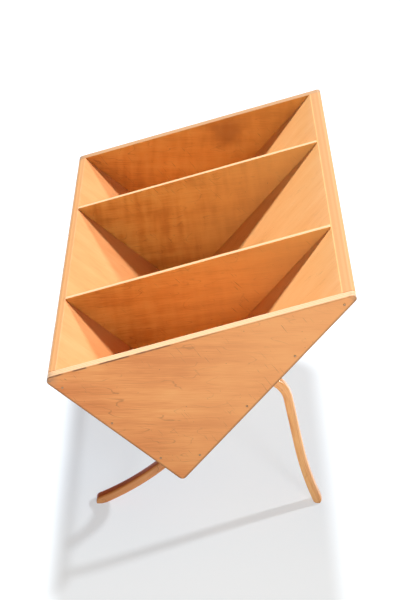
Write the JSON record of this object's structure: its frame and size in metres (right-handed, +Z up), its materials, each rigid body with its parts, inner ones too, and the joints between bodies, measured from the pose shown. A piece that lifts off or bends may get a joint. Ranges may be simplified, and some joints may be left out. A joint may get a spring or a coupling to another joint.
{
  "type": "magazine rack",
  "caption": "Free-standing plywood magazine rack: a tipped V trough with thin dividers, carried by bentwood leg frames.",
  "frame": {"origin": "on the floor, under the middle of the outer box", "axes": "+Z up, +Y along the trough from its front end panel to its back one, +X towards the long, higher wall"},
  "size_m": [0.3036, 0.597, 0.284],
  "materials": {
    "panel_ply": "satin, old varnished birch plywood",
    "wall_ply": "satin, old varnished birch plywood",
    "divider_ply": "satin, old varnished birch plywood",
    "bentwood": "semi-gloss varnished beech",
    "pin_steel": "dull",
    "screw_steel": "dull"
  },
  "bodies": {
    "root": {"front_end_panel": "panel_ply", "back_end_panel": "panel_ply", "long_wall": "wall_ply", "short_wall": "wall_ply", "front_divider": "divider_ply", "back_divider": "divider_ply", "front_leg_frame": "bentwood", "back_leg_frame": "bentwood", "back_divider_pin_long_1": "pin_steel", "back_divider_pin_long_2": "pin_steel", "back_divider_pin_short_1": "pin_steel", "back_divider_pin_short_2": "pin_steel", "back_leg_screw_1": "screw_steel", "back_leg_screw_2": "screw_steel", "back_panel_pin_long_1": "pin_steel", "back_panel_pin_long_2": "pin_steel", "back_panel_pin_long_3": "pin_steel", "back_panel_pin_long_4": "pin_steel", "back_panel_pin_short_1": "pin_steel", "back_panel_pin_short_2": "pin_steel", "back_panel_pin_short_3": "pin_steel", "front_divider_pin_long_1": "pin_steel", "front_divider_pin_long_2": "pin_steel", "front_divider_pin_short_1": "pin_steel", "front_divider_pin_short_2": "pin_steel", "front_leg_screw_1": "screw_steel", "front_leg_screw_2": "screw_steel", "front_panel_pin_long_1": "pin_steel", "front_panel_pin_long_2": "pin_steel", "front_panel_pin_long_3": "pin_steel", "front_panel_pin_long_4": "pin_steel", "front_panel_pin_short_1": "pin_steel", "front_panel_pin_short_2": "pin_steel", "front_panel_pin_short_3": "pin_steel", "keel_pin_1": "pin_steel", "keel_pin_2": "pin_steel", "keel_pin_3": "pin_steel", "keel_pin_4": "pin_steel", "keel_pin_5": "pin_steel"}
  },
  "joints": []
}
